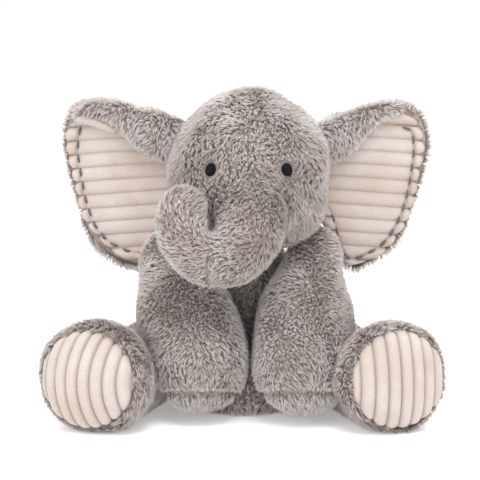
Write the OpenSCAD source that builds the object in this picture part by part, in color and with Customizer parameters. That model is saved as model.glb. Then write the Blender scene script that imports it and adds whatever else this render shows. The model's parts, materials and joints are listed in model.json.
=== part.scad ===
// Seated plush elephant: fur covers over stuffing, ribbed ear linings and foot
// pads, a curled trunk, and limbs that turn where they are sewn on.
// Millimetres, +Z up. The toy faces -Y and its own left side is +X.

/* [Fabric] */
// Thickness of a fur cover, backing and matted pile
cover_t = 3; // [2.5:0.25:4]
// Gap between pieces that turn on each other
joint_gap = 0.6; // [0.5:0.05:0.8]

/* [Torso] */
// Height of the torso up to the neck
torso_h = 110; // [108:1:112]
// Largest radius of the torso, low down
torso_r = 52; // [49:0.5:52.5]
// Radius of the stuffed neck
neck_r = 26; // [22:0.5:27]

/* [Head] */
// Radius of the cranium
head_r = 57; // [54:0.5:57.5]
// Height of the middle of the head
head_z = 175; // [173:0.5:177]
// Radius where the trunk leaves the face
trunk_root_r = 24; // [22:0.5:25]
// Radius of the embroidered eyes
eye_r = 4.2; // [3.5:0.1:5]

/* [Ears] */
// How far an ear reaches out from the middle of the head
ear_reach = 133; // [124:1:138]
// Ear height
ear_h = 124; // [118:1:126]
// Sweep of the ears to the rear, degrees
ear_sweep = 6; // [2:1:8]

/* [Limbs] */
// Largest radius of an arm
arm_r = 31; // [28:0.5:31.5]
// Length of an arm from the shoulder to the sole seam
arm_len = 98; // [94:1:99]
// Radius of a foot
foot_r = 38; // [36:0.5:38.5]
// Length of a leg from the hip to the foot pad
leg_len = 120; // [117:1:121]

/* [Hidden] */

FUR = "#a49b96";
RIB = "#ead9c9";
FILL = "#f4f2ee";
THREAD = "#5b5f68";
BLACK = "#0b0b10";

round_fn = 64;            // sides of the turned pieces, which stay true surfaces
tube_sides = 16;          // sides of the swept trunk
span_steps = 3;           // curve steps between two stations
fit = 0.3;                // slack of stuffing inside its cover
middle_y = 9;             // puts the middle of the whole toy over the origin

torso_y = 14;             // middle of the torso, front to back
neck_at = [2, 4, 106];
head_at = [3, -12, head_z];
head_tilt = 20;           // how far the face looks down, degrees
muzzle_len = 66;          // from the middle of the head to the trunk seam
shoulder = [50, -18, 101];
arm_aim = [-19, -46, -64];
shoulder_r = 23;
hip = [69.5, 12, 29];
leg_aim = [38, -116, 9.4];
hip_r = 27;
ear_axis_x = 57;          // hinge line of an ear, from the middle of the head
ear_y = 12;               // ear behind the middle of the head
tail_at = [0, 70.5, 40];

// ---------- curves ----------
function mix(a, b, t) = a * (1 - t) + b * t;
function bend(a, b, c, d, t) =
    0.5 * (2 * b + (c - a) * t + (2 * a - 5 * b + 4 * c - d) * t * t
        + (3 * b - a - 3 * c + d) * t * t * t);
// An open curve through the points of p, n steps to a span
function through(p, n = span_steps) = concat(
    [for (i = [0:len(p) - 2], k = [0:n - 1])
        bend(p[max(i - 1, 0)], p[i], p[i + 1], p[min(i + 2, len(p) - 1)], k / n)],
    [p[len(p) - 1]]);
// A closed curve through the points of p
function around(p, n = span_steps) =
    [for (i = [0:len(p) - 1], k = [0:n - 1])
        bend(p[(i + len(p) - 1) % len(p)], p[i], p[(i + 1) % len(p)],
            p[(i + 2) % len(p)], k / n)];
function unit(v) = v / norm(v);
// Outward normal of an open curve of [radius, height] points
function side_of(c, i) =
    let (d = c[min(i + 1, len(c) - 1)] - c[max(i - 1, 0)]) unit([d.y, -d.x]);
// The curve moved inward by t, kept t inside its two flat ends
function inset(c, t) =
    let (lo = c[0].y + t, hi = c[len(c) - 1].y - t)
    [for (i = [0:len(c) - 1])
        let (q = c[i] - t * side_of(c, i)) [max(q.x, 0.5), min(max(q.y, lo), hi)]];

// ---------- building blocks ----------
// A solid turned about Z from [height, radius] stations, t inside the outline
module turned(stations, t = 0) {
    c = through([for (s = stations) [s[1], s[0]]]);
    q = inset(c, t);
    rotate_extrude($fn = round_fn)
        polygon(concat([[0, q[0].y]], q, [[0, q[len(q) - 1].y]]));
}
// Turns +Z to point along v
module aim(v) {
    rotate([0, acos(unit(v).z), atan2(v.y, v.x)]) children();
}
module floor_cut(t = 0) {
    difference() {
        children();
        translate([-300, -300, -100 + t]) cube([600, 600, 100]);
    }
}
// A cover is the outer solid less the room for its stuffing
module on_side(side) {
    if (side > 0) children(); else mirror([1, 0, 0]) children();
}
module placed() {
    translate([0, middle_y, 0]) children();
}

// ---------- torso and neck ----------
torso_line = [
    [0, 0.76 * torso_r], [9, 0.94 * torso_r], [30, torso_r], [60, 0.9 * torso_r],
    [82, 0.79 * torso_r], [97, 0.64 * torso_r], [106, 0.42 * torso_r],
    [torso_h, 0.1 * torso_r]
];
module torso_form(t = 0) {
    translate([0, torso_y, 0]) rotate([0, 0, 90]) turned(torso_line, t);
}
// Room that the neck and the limbs take out of the torso, grown by t
module torso_room(t) {
    grown = joint_gap + t;
    translate(neck_at) sphere(r = neck_r + grown, $fn = round_fn);
    for (side = [-1, 1]) on_side(side) {
        translate(shoulder) {
            sphere(r = shoulder_r + grown, $fn = round_fn);
            aim(arm_aim) {
                translate([0, 0, -2]) cylinder(r1 = shoulder_r + grown - 1,
                    r2 = arm_r + grown, h = 26, $fn = round_fn);
                translate([0, 0, 24]) cylinder(r = arm_r + grown, h = 60, $fn = round_fn);
            }
        }
        translate(hip) {
            sphere(r = hip_r + grown, $fn = round_fn);
            aim(leg_aim) cylinder(r = hip_r + grown - 0.4, h = 60, $fn = round_fn);
        }
    }
}
bag_z = 16;
bag_r = 30;
module bag_form(t = 0) {
    translate([0, torso_y, bag_z])
        turned([[-11, 14], [-8, 24], [0, bag_r], [8, 24], [11, 14]], t);
}
module torso_cover() {
    color(FUR) difference() {
        torso_form();
        difference() {
            torso_form(cover_t);
            torso_room(cover_t);
        }
        torso_room(0);
    }
}
module torso_stuffing() {
    color(FILL) difference() {
        torso_form(cover_t + fit);
        torso_room(cover_t + fit);
        bag_form(-fit);
    }
}
module pellet_bag() {
    color("#d8d2c4") bag_form();
}
seam_stitches = 9;
module back_seam_thread() {
    color(THREAD) for (i = [0:seam_stitches - 1])
        translate([0, torso_y + torso_r * 0.915 + 2.2 - 0.55 * i, 50 + 3.4 * i])
            rotate([0, 52 * (i % 2 == 0 ? 1 : -1), 0])
                cylinder(r = 0.5, h = 4, center = true, $fn = 24);
}
label_size = [14, 0.8, 18];
module care_label() {
    color("#f3f1ec") translate([28, torso_y + torso_r * 0.85, 3])
        rotate([0, 0, -32]) cube(label_size);
}
module neck_tube() {
    color(FUR) translate(neck_at) sphere(r = neck_r, $fn = round_fn);
}

// ---------- head ----------
head_line = [
    [-head_r, 6], [-0.93 * head_r, 0.36 * head_r], [-0.7 * head_r, 0.714 * head_r],
    [-0.35 * head_r, 0.937 * head_r], [0, head_r], [0.32 * head_r, 0.955 * head_r],
    [0.6 * head_r, 0.81 * head_r], [0.86 * head_r, 0.6 * head_r],
    [muzzle_len, trunk_root_r + 1.5]
];
module head_form(t = 0) {
    translate(head_at) rotate([90 + head_tilt, 0, 0]) turned(head_line, t);
}
module neck_room(t) {
    translate(neck_at) sphere(r = neck_r + joint_gap + t, $fn = round_fn);
}
module head_cover() {
    color(FUR) difference() {
        head_form();
        difference() {
            head_form(cover_t);
            neck_room(cover_t);
        }
        neck_room(0);
    }
}
module head_stuffing() {
    color(FILL) difference() {
        head_form(cover_t + fit);
        neck_room(cover_t + fit);
    }
}
eye_turn = 35.5;          // where an eye sits around the axis of the face
eye_slope = 55;           // angle between the axis of the face and the eye's direction
module eye(side) {
    color(BLACK) translate([head_at.x, 0, 0]) on_side(side)
        translate([0, head_at.y, head_at.z]) rotate([90 + head_tilt, 0, 0])
            rotate([0, 0, eye_turn]) translate([0.6 * head_r, 0, 0.86 * head_r])
                rotate([0, eye_slope, 0]) translate([0, 0, 0.6])
                    turned([[0, eye_r * 0.9], [0.7, eye_r], [1.5, eye_r * 0.8], [1.9, 1]]);
}

// ---------- trunk ----------
// Stations along the middle of the trunk: [place, radius]
trunk_path = [
    [[3, -74.4, 152.3], trunk_root_r], [[3.4, -87, 144], 21.5],
    [[0.5, -96, 133.5], 20.2], [[-8, -101, 124.5], 18.5], [[-20.5, -103, 121], 16.6],
    [[-33.5, -102, 125], 15.4], [[-42, -99.5, 135.5], 14.5],
    [[-44.5, -96.5, 148.5], 13.6], [[-42.5, -93, 160], 12.4]
];
trunk_steps = 2;
trunk_points = through([for (s = trunk_path) s[0]], trunk_steps);
trunk_radii = through([for (s = trunk_path) s[1]], trunk_steps);
first_bend = 5;           // index of the trunk point at the first bend
second_bend = 11;         // index of the trunk point at the second bend
last_point = len(trunk_points) - 1;
face_way = [0, -cos(head_tilt), -sin(head_tilt)];
// The first ring lies flat on the face
function heading(i) = i == 0 ? face_way
    : unit(trunk_points[min(i + 1, last_point)] - trunk_points[i - 1]);
function ring(at, way, r) =
    let (a = unit(cross(way, [0.25, 1, 0.1])), b = cross(way, a))
    [for (k = [0:tube_sides - 1])
        at + r * (cos(360 * k / tube_sides) * a + sin(360 * k / tube_sides) * b)];
function cap(i, t) =
    [for (e = [20, 42, 64, 83])
        ring(trunk_points[i] + heading(i) * (trunk_radii[i] - t) * sin(e), heading(i),
            (trunk_radii[i] - t) * cos(e))];
// Part of the trunk, t inside its outline, flat at its start and round at its end
module trunk_run(first, last, t) {
    rings = concat(
        [ring(trunk_points[first] + t * heading(first), heading(first),
            trunk_radii[first] - t)],
        [for (i = [first + 1:last]) ring(trunk_points[i], heading(i), trunk_radii[i] - t)],
        cap(last, t));
    pts = [for (r = rings) each r];
    n = len(rings);
    polyhedron(points = pts, convexity = 4, faces = concat(
        [[for (k = [0:tube_sides - 1]) k]],
        [for (j = [0:n - 2], k = [0:tube_sides - 1])
            let (m = (k + 1) % tube_sides, a = j * tube_sides, b = a + tube_sides)
            [a + k, b + k, b + m, a + m]],
        [[for (k = [tube_sides - 1:-1:0]) (n - 1) * tube_sides + k]]));
}
module bend_room(i, t = 0) {
    translate(trunk_points[i])
        sphere(r = trunk_radii[i] + joint_gap + t, $fn = 32);
}
module trunk_base_form(t = 0) {
    translate(0.4 * face_way) trunk_run(0, first_bend, t);
}
module trunk_mid_form(t = 0) {
    difference() {
        trunk_run(first_bend + 1, second_bend, t);
        bend_room(first_bend, t);
    }
}
module trunk_tip_form(t = 0) {
    difference() {
        trunk_run(second_bend + 1, last_point, t);
        bend_room(second_bend, t);
    }
}

// ---------- ears ----------
// Outline of the left ear from the front: out from the middle of the head, and up
ear_line = [
    [0.36, 0.4], [0.6, 0.46], [0.84, 0.495], [0.95, 0.455], [1, 0.3], [0.975, 0.03],
    [0.875, -0.29], [0.77, -0.425], [0.67, -0.48], [0.6, -0.43], [0.45, -0.18],
    [0.34, 0.1]
];
ear_mid_z = -15;          // middle of the ear below the middle of the head
ear_mid_x = 0.7;          // middle of the ear, in shares of its reach
head_room = 1.8;          // space between an ear and the head, for its swing
back_t = 4.5;
wadding_t = 2;
lining_t = 1.6;
lining_share = 0.92;
stitch_share = 0.8;
stitch_count = 34;
stitch_len = 4;
function ear_points(share) = [for (p = ear_line)
    [(ear_mid_x + (p.x - ear_mid_x) * share) * ear_reach - ear_axis_x, p.y * ear_h * share]];
module ear_place() {
    translate([ear_axis_x, head_at.y + ear_y, head_at.z + ear_mid_z])
        rotate([0, 0, ear_sweep]) children();
}
// A flat sheet of the ear's outline from y = back forward, kept clear of the head
module ear_sheet(back, thick, share) {
    difference() {
        ear_place() translate([0, back, 0]) rotate([90, 0, 0])
            linear_extrude(height = thick) polygon(around(ear_points(share)));
        translate([0, head_at.y, head_at.z])
            sphere(r = head_r + head_room + (1 - share) * 10, $fn = round_fn);
    }
}
module ear_back() {
    color(FUR) difference() {
        ear_sheet(back_t, back_t, 1);
        ear_sheet(wadding_t, wadding_t + 1, lining_share);
    }
}
module ear_wadding() {
    color(FILL) ear_sheet(wadding_t - 0.1, wadding_t - 0.2, lining_share - 0.01);
}
module ear_lining() {
    color(RIB) ear_sheet(-0.05, lining_t, lining_share - 0.01);
}
stitch_loop = around(ear_points(stitch_share), 12);
function stitch_at(u) = stitch_loop[floor(u * len(stitch_loop)) % len(stitch_loop)];
module ear_stitching() {
    color(THREAD) ear_place() for (i = [0:stitch_count - 1]) {
        a = stitch_at(i / stitch_count);
        b = stitch_at(i / stitch_count + 0.012);
        if (a.x > 8)
            translate([a.x, -lining_t - 0.75, a.y])
                rotate([0, 90 - atan2(b.y - a.y, b.x - a.x), 0])
                    cylinder(r = 0.6, h = stitch_len, center = true, $fn = 24);
    }
}

// ---------- arms ----------
arm_line = [
    [-shoulder_r, 4], [-0.9 * shoulder_r, 0.436 * shoulder_r],
    [-0.6 * shoulder_r, 0.8 * shoulder_r], [0, shoulder_r], [22, 0.88 * arm_r],
    [46, arm_r], [68, 0.97 * arm_r], [85, 0.87 * arm_r], [94, 0.73 * arm_r],
    [arm_len, 0.6 * arm_r]
];
module arm_form(t = 0) {
    translate(shoulder) aim(arm_aim) turned(arm_line, t);
}
module arm_cover() {
    color(FUR) difference() {
        arm_form();
        arm_form(cover_t);
    }
}
module arm_stuffing() {
    color(FILL) arm_form(cover_t + fit);
}
module arm_sole() {
    color(FUR) translate(shoulder) aim(arm_aim) translate([0, 0, arm_len + 0.05])
        turned([[0, 0.57 * arm_r], [2.2, 0.5 * arm_r], [4.2, 0.33 * arm_r], [5, 0.1 * arm_r]]);
}

// ---------- legs ----------
leg_line = [
    [-hip_r, 4], [-0.9 * hip_r, 0.436 * hip_r], [-0.6 * hip_r, 0.8 * hip_r], [0, hip_r],
    [22, 0.92 * hip_r], [46, 0.87 * hip_r], [66, 0.87 * hip_r], [82, 0.78 * foot_r],
    [96, 0.95 * foot_r], [108, foot_r], [116, 0.98 * foot_r], [leg_len, 0.91 * foot_r]
];
module leg_form(t = 0) {
    floor_cut(t) translate(hip) aim(leg_aim) turned(leg_line, t);
}
module leg_cover() {
    color(FUR) difference() {
        leg_form();
        leg_form(cover_t);
    }
}
module leg_stuffing() {
    color(FILL) leg_form(cover_t + fit);
}
pad_share = 0.885;        // pad radius over foot radius
module foot_pad() {
    r = pad_share * foot_r;
    color(RIB) translate(hip) aim(leg_aim) translate([0, 0, leg_len + 0.05])
        turned([[0, r], [1.6, 0.97 * r], [4.2, 0.72 * r], [6, 0.36 * r], [6.4, 0.08 * r]]);
}

// ---------- tail ----------
tail_aim = [0, 20, -24];
tail_len = 30;
tail_r = 4.5;
module tail_cord() {
    color(FUR) translate(tail_at) aim(tail_aim)
        turned([[0, tail_r * 0.7], [2, tail_r], [tail_len - 3, tail_r * 0.9],
            [tail_len, tail_r * 0.8]]);
}
module tail_tuft() {
    color(FUR) translate(tail_at) aim(tail_aim) translate([0, 0, tail_len + 0.05])
        turned([[0, 4], [4, 7], [9, 7], [14, 4], [17, 1]]);
}

// ---------- nodes ----------
module shell_of_trunk(which) {
    color(FUR) difference() {
        trunk_part(which, 0);
        trunk_part(which, cover_t);
    }
}
module trunk_part(which, t) {
    if (which == "base") trunk_base_form(t);
    if (which == "mid") trunk_mid_form(t);
    if (which == "tip") trunk_tip_form(t);
}

placed() {
    torso_cover();
    torso_stuffing();
    pellet_bag();
    back_seam_thread();
    care_label();
    neck_tube();
    head_cover();
    head_stuffing();
    eye(1);  // left_eye
    eye(-1);  // right_eye
    shell_of_trunk("base");  // trunk_base_cover
    color(FILL) trunk_part("base", cover_t + fit);  // trunk_base_stuffing
    shell_of_trunk("mid");  // trunk_mid_cover
    color(FILL) trunk_part("mid", cover_t + fit);  // trunk_mid_stuffing
    shell_of_trunk("tip");  // trunk_tip_cover
    color(FILL) trunk_part("tip", cover_t + fit);  // trunk_tip_stuffing
    for (side = [1, -1]) {
        name = side > 0 ? "left" : "right";
        on_ear_side(side) ear_back();
        on_ear_side(side) ear_wadding();
        on_ear_side(side) ear_lining();
        on_ear_side(side) ear_stitching();
        on_side(side) arm_cover();
        on_side(side) arm_stuffing();
        on_side(side) arm_sole();
        on_side(side) leg_cover();
        on_side(side) leg_stuffing();
        on_side(side) foot_pad();
    }
    tail_cord();
    tail_tuft();
}
// Places an ear on the head, whose middle is a little to one side of the torso's
module on_ear_side(side) {
    translate([head_at.x, 0, 0]) on_side(side) children();
}
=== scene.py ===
import json
import math

import bpy
import numpy as np
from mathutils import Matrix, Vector, kdtree


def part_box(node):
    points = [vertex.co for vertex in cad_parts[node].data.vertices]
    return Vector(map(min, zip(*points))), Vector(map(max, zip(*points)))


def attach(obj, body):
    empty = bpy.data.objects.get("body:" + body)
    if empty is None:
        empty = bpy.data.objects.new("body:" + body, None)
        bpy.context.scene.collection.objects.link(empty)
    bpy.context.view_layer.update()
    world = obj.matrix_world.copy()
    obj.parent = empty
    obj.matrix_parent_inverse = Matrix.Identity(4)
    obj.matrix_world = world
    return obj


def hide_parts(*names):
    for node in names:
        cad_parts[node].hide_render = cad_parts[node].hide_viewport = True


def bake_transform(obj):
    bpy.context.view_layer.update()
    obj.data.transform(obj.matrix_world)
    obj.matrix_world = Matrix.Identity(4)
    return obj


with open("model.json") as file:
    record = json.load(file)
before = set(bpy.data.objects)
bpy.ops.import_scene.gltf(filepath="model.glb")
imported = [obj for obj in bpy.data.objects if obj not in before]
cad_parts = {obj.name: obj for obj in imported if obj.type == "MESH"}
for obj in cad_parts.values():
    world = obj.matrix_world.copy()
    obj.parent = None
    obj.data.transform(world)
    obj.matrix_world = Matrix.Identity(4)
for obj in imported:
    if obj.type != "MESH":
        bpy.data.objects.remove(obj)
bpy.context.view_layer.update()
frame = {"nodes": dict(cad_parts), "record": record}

# ---------------------------------------------------------------- settings
# Lengths below are millimetres in the CAD source's own frame, before it is centred.
MM = 0.001
NECK = np.array([2.0, 4.0, 106.0])
neck_low, neck_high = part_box("neck_tube")
SHIFT = np.array([0.0, (neck_low[1] + neck_high[1]) / 2 / MM - NECK[1], 0.0])
FLOOR_GAP = 0.3

HEAD_AT = np.array([4.6, -12.0, 175.0])
HEAD_R = 55.3
HEAD_TILT = math.radians(20)
EYE_R = 4.3
TORSO_AT = np.array([0.0, 14.0, 0.0])
TORSO_R = 52.0
SHOULDER = {1: np.array([50.5, -18.0, 102.0]), -1: np.array([-52.5, -18.0, 101.5])}
ARM_AIM = {1: np.array([-10.0, -53.0, -59.5]), -1: np.array([22.0, -48.0, -55.5])}
HIP = np.array([69.5, 12.0, 29.0])
LEG_AIM = np.array([38.0, -116.0, 9.4])
LEG_LEN = 120.0
EAR_FROM = 3.0
EAR_HINGE = 57.0
EAR_SWEEP = math.radians(6)
TAIL_AT = np.array([0.0, 70.5, 40.0])
TAIL_AIM = np.array([0.0, 20.0, -24.0])


# ---------------------------------------------------------------- small tools
def unit(v):
    v = np.asarray(v, float)
    return v / np.maximum(np.linalg.norm(v, axis=-1, keepdims=True), 1e-9)


def eased(share):
    """A share from 0 to 1 that starts and ends gently."""
    share = np.clip(share, 0, 1)
    return share * share * (3 - 2 * share)


def through(points, steps, closed=False):
    """A smooth curve through the points."""
    p = np.asarray(points, float)
    n = len(p)
    out = []
    for i in range(n if closed else n - 1):
        a, b, c, d = ((p[(i + k) % n] for k in (-1, 0, 1, 2)) if closed else
                      (p[min(max(i + k, 0), n - 1)] for k in (-1, 0, 1, 2)))
        for k in range(steps):
            t = k / steps
            out.append(0.5 * (2 * b + (c - a) * t + (2 * a - 5 * b + 4 * c - d) * t * t
                              + (3 * b - a - 3 * c + d) * t ** 3))
    if not closed:
        out.append(p[-1])
    return np.array(out)


class Waves:
    """Smooth repeatable noise of about unit size, from a sum of sines."""

    def __init__(self, seed, length, count=12):
        r = np.random.default_rng(seed)
        way = unit(r.normal(size=(count, 3)))
        self.k = way * (2 * math.pi / (length * r.uniform(0.6, 1.7, (count, 1))))
        self.phase = r.uniform(0, 2 * math.pi, count)

    def __call__(self, p):
        return np.sin(p @ self.k.T + self.phase).sum(1) / math.sqrt(len(self.phase) / 2)


def loft_faces(rows, cols, first=0, wrap=True):
    """Quads between rows of a grid of points."""
    i = np.arange(rows - 1)[:, None] * cols + first
    j = np.arange(cols if wrap else cols - 1)[None, :]
    k = (j + 1) % cols
    return np.stack([i + j, i + k, i + cols + k, i + cols + j], -1).reshape(-1, 4)


def end_tris(rows, cols):
    """Triangles that close the ends of a grid, whose two end points come after its own."""
    j = np.arange(cols)
    k = (j + 1) % cols
    last = (rows - 1) * cols
    return np.concatenate([np.stack([np.full(cols, rows * cols), k, j], 1),
                           np.stack([np.full(cols, rows * cols + 1), last + j, last + k], 1)])


class Skin:
    """A mesh held as arrays: points in mm, and its faces by their number of corners."""

    def __init__(self, points, quads=None, tris=None):
        self.p = np.asarray(points, float)
        self.q = np.zeros((0, 4), int) if quads is None else np.asarray(quads, int)
        self.t = np.zeros((0, 3), int) if tris is None else np.asarray(tris, int)

    def all_tris(self):
        return np.concatenate([self.q[:, [0, 1, 2]], self.q[:, [0, 2, 3]], self.t])

    def normals(self):
        t = self.all_tris()
        a, b, c = (self.p[t[:, i]] for i in range(3))
        f = np.cross(b - a, c - a)
        out = np.zeros_like(self.p)
        for i in range(3):
            np.add.at(out, t[:, i], f)
        return unit(out)

    def join(self, other):
        n = len(self.p)
        return Skin(np.concatenate([self.p, other.p]), np.concatenate([self.q, other.q + n]),
                    np.concatenate([self.t, other.t + n]))

    def pushed(self, amount):
        """Moved along its normals."""
        return Skin(self.p + self.normals() * np.reshape(amount, (-1, 1)), self.q, self.t)

    def grounded(self):
        p = self.p.copy()
        p[:, 2] = np.maximum(p[:, 2], FLOOR_GAP)
        return Skin(p, self.q, self.t)


def make_object(name, skin, material, uv=None, values=None):
    me = bpy.data.meshes.new(name)
    p = (skin.p + SHIFT) * MM
    me.vertices.add(len(p))
    me.vertices.foreach_set("co", p.astype(np.float32).ravel())
    corners = np.concatenate([skin.q.ravel(), skin.t.ravel()])
    starts = np.concatenate([np.arange(len(skin.q)) * 4,
                             len(skin.q) * 4 + np.arange(len(skin.t)) * 3])
    me.loops.add(len(corners))
    me.loops.foreach_set("vertex_index", corners.astype(np.int32))
    me.polygons.add(len(starts))
    me.polygons.foreach_set("loop_start", starts.astype(np.int32))
    me.update(calc_edges=True)
    me.polygons.foreach_set("use_smooth", np.ones(len(starts), bool))
    if uv is not None:
        layer = me.uv_layers.new(name=STRAND_MAP)
        layer.data.foreach_set("uv", uv[corners].astype(np.float32).ravel())
    if values is not None:
        attribute = me.attributes.new("valley_shade", "FLOAT", "POINT")
        attribute.data.foreach_set("value", values.astype(np.float32))
    me.validate()
    me.materials.append(material)
    ob = bpy.data.objects.new(name, me)
    bpy.context.scene.collection.objects.link(ob)
    return ob


def piece(name, skin, material, body, *nodes, fill=None, values=None):
    """A piece that rides on a body and stands for CAD nodes. fill is not used."""
    ob = make_object(name, skin, material, values=values)
    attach(ob, body)
    if nodes:
        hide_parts(*nodes)


def axes_of(aim):
    """Sideways, upward and forward directions for a piece that points along aim."""
    v = unit(aim)
    a = np.cross(v, [0.0, 0.0, 1.0])
    a = unit(a) if np.linalg.norm(a) > 0.05 else np.array([1.0, 0.0, 0.0])
    return a, np.cross(a, v), v


class Turned:
    """A stuffed form of round sections along an axis: stations are (height, radius)."""

    def __init__(self, at, aim, stations, steps=5, sides=60):
        self.at = np.asarray(at, float)
        self.a, self.b, self.v = axes_of(aim)
        line = through(stations, steps)
        keep = np.argsort(line[:, 0], kind="stable")
        self.h, self.r = line[keep, 0], line[keep, 1]
        self.line, self.sides = line, sides

    def skin(self):
        turn = np.linspace(0, 2 * math.pi, self.sides, endpoint=False)
        spoke = np.cos(turn)[:, None] * self.a + np.sin(turn)[:, None] * self.b
        rings = (self.at + self.line[:, None, :1] * self.v
                 + self.line[:, None, 1:] * spoke[None])
        n = len(self.line)
        p = np.concatenate([rings.reshape(-1, 3), [self.at + self.line[0, 0] * self.v],
                            [self.at + self.line[-1, 0] * self.v]])
        s = Skin(p, loft_faces(n, self.sides)[:, ::-1], end_tris(n, self.sides))
        if np.einsum("ij,ij->i", s.normals()[:-2], p[:-2] - rings.mean(1).repeat(self.sides, 0)
                     ).mean() < 0:
            s.q, s.t = s.q[:, ::-1], s.t[:, ::-1]
        return s

    def depth(self, p):
        """How far inside the form each point is."""
        d = p - self.at
        h = d @ self.v
        out = np.linalg.norm(d - h[:, None] * self.v, axis=1)
        r = np.interp(h, self.h, self.r)
        beyond = np.maximum(np.maximum(self.h[0] - h, h - self.h[-1]), 0)
        return np.where(beyond > 0, -np.hypot(beyond, np.maximum(out - r, 0)), r - out)


class Tube:
    """A swept round form: points along the middle, each with a radius."""

    def __init__(self, points, radii, steps=6, sides=40):
        self.c = through(points, steps)
        self.r = through(np.asarray(radii, float)[:, None], steps)[:, 0]
        self.sides = sides

    def skin(self, first=0, last=None, round_start=False, round_end=True):
        c, r = self.c[first:last], self.r[first:last]
        way = unit(np.gradient(c, axis=0))
        turn = np.linspace(0, 2 * math.pi, self.sides, endpoint=False)
        hint = np.array([0.25, 1.0, 0.1])
        a = unit(np.cross(way, hint))
        b = np.cross(way, a)
        rows = [(c[i], r[i], a[i], b[i]) for i in range(len(c))]
        caps = np.radians([18, 36, 54, 70, 83])
        if round_end:
            rows += [(c[-1] + way[-1] * r[-1] * math.sin(e), r[-1] * math.cos(e), a[-1], b[-1])
                     for e in caps]
        if round_start:
            rows = [(c[0] - way[0] * r[0] * math.sin(e), r[0] * math.cos(e), a[0], b[0])
                    for e in caps[::-1]] + rows
        rings = np.array([m + s * (np.cos(turn)[:, None] * x + np.sin(turn)[:, None] * y)
                          for m, s, x, y in rows])
        n = len(rings)
        p = np.concatenate([rings.reshape(-1, 3), [rings[0].mean(0)], [rings[-1].mean(0)]])
        s = Skin(p, loft_faces(n, self.sides), end_tris(n, self.sides))
        out = p[:-2] - rings.mean(1).repeat(self.sides, 0)
        if np.einsum("ij,ij->i", s.normals()[:-2], out).mean() < 0:
            s.q, s.t = s.q[:, ::-1], s.t[:, ::-1]
        return s

    def depth(self, p):
        best = np.full(len(p), -1e3)
        for c, r in zip(self.c[::2], self.r[::2]):
            best = np.maximum(best, r - np.linalg.norm(p - c, axis=1))
        return best

    def way(self, p):
        """Direction of the middle line at the place nearest each point."""
        near = np.argmin(((p[:, None, :] - self.c[None, ::2]) ** 2).sum(-1), axis=1)
        return unit(np.gradient(self.c, axis=0))[::2][near]


# ---------------------------------------------------------------- materials
STRAND_MAP = "OFBake"       # u holds a strand's shade, its own random tone plus painted light; v runs from its root to its tip


class Nodes:
    """A short way to build a node tree."""

    def __init__(self, name):
        self.mat = bpy.data.materials.new(name)
        self.mat.use_nodes = True
        self.tree = self.mat.node_tree
        self.shader = self.tree.nodes["Principled BSDF"]

    def add(self, kind, settings=None, **sockets):
        node = self.tree.nodes.new(kind)
        for key, value in (settings or {}).items():
            setattr(node, key, value)
        for key, value in sockets.items():
            self.put(node, key.replace("_", " "), value)
        return node

    def put(self, node, socket, value):
        if isinstance(value, bpy.types.NodeSocket):
            self.tree.links.new(value, node.inputs[socket])
        else:
            node.inputs[socket].default_value = value

    def set(self, **sockets):
        for key, value in sockets.items():
            self.put(self.shader, key.replace("_", " "), value)

    def ramp(self, fac, stops):
        node = self.add("ShaderNodeValToRGB", Fac=fac)
        band = node.color_ramp
        while len(band.elements) < len(stops):
            band.elements.new(0.5)
        for element, (place, colour) in zip(band.elements, stops):
            element.position = place
            element.color = (*colour, 1)
        return node.outputs["Color"]

    def mix(self, kind, fac, a, b):
        node = self.add("ShaderNodeMix", {"data_type": "RGBA", "blend_type": kind})
        self.put(node, 0, fac)
        for i, value in ((6, a), (7, b)):
            self.put(node, i, (*value, 1) if isinstance(value, tuple) else value)
        return node.outputs[2]

    def noise(self, vector, scale, detail=3.0, rough=0.55):
        return self.add("ShaderNodeTexNoise", Vector=vector, Scale=scale, Detail=detail,
                        Roughness=rough).outputs["Fac"]

    def place(self):
        return self.add("ShaderNodeTexCoord").outputs["Object"]

    def bump(self, height, strength, distance):
        return self.add("ShaderNodeBump", Height=height, Strength=strength,
                        Distance=distance).outputs["Normal"]


def fur_material():
    m = Nodes("plush_fur")
    uv = m.add("ShaderNodeUVMap", {"uv_map": STRAND_MAP}).outputs["UV"]
    split = m.add("ShaderNodeSeparateXYZ", Vector=uv)
    along = m.ramp(split.outputs["Y"], [
        (0.0, (0.19, 0.135, 0.115)), (0.3, (0.47, 0.385, 0.35)),
        (0.62, (0.77, 0.71, 0.685)), (1.0, (0.91, 0.885, 0.88))])
    # Across u: a strand's shade, which holds painted light as well as random tone.
    shade = m.ramp(split.outputs["X"], [
        (0.0, (0.60, 0.555, 0.535)), (0.35, (0.80, 0.76, 0.74)),
        (0.65, (0.90, 0.88, 0.875)), (1.0, (1.0, 1.0, 1.0))])
    m.set(Base_Color=m.mix("MULTIPLY", 1.0, along, shade), Roughness=0.78,
          Specular_IOR_Level=0.25, Sheen_Weight=0.25, Sheen_Roughness=0.5)
    return m.mat


def backing_material():
    m = Nodes("fur_backing")
    at = m.place()
    tone = m.ramp(m.noise(at, 260.0, 4.0), [(0.3, (0.20, 0.16, 0.14)),
                                            (0.7, (0.38, 0.33, 0.30))])
    m.set(Base_Color=tone, Roughness=0.95, Specular_IOR_Level=0.1,
          Normal=m.bump(m.noise(at, 900.0), 0.6, 0.0006))
    return m.mat


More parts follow.
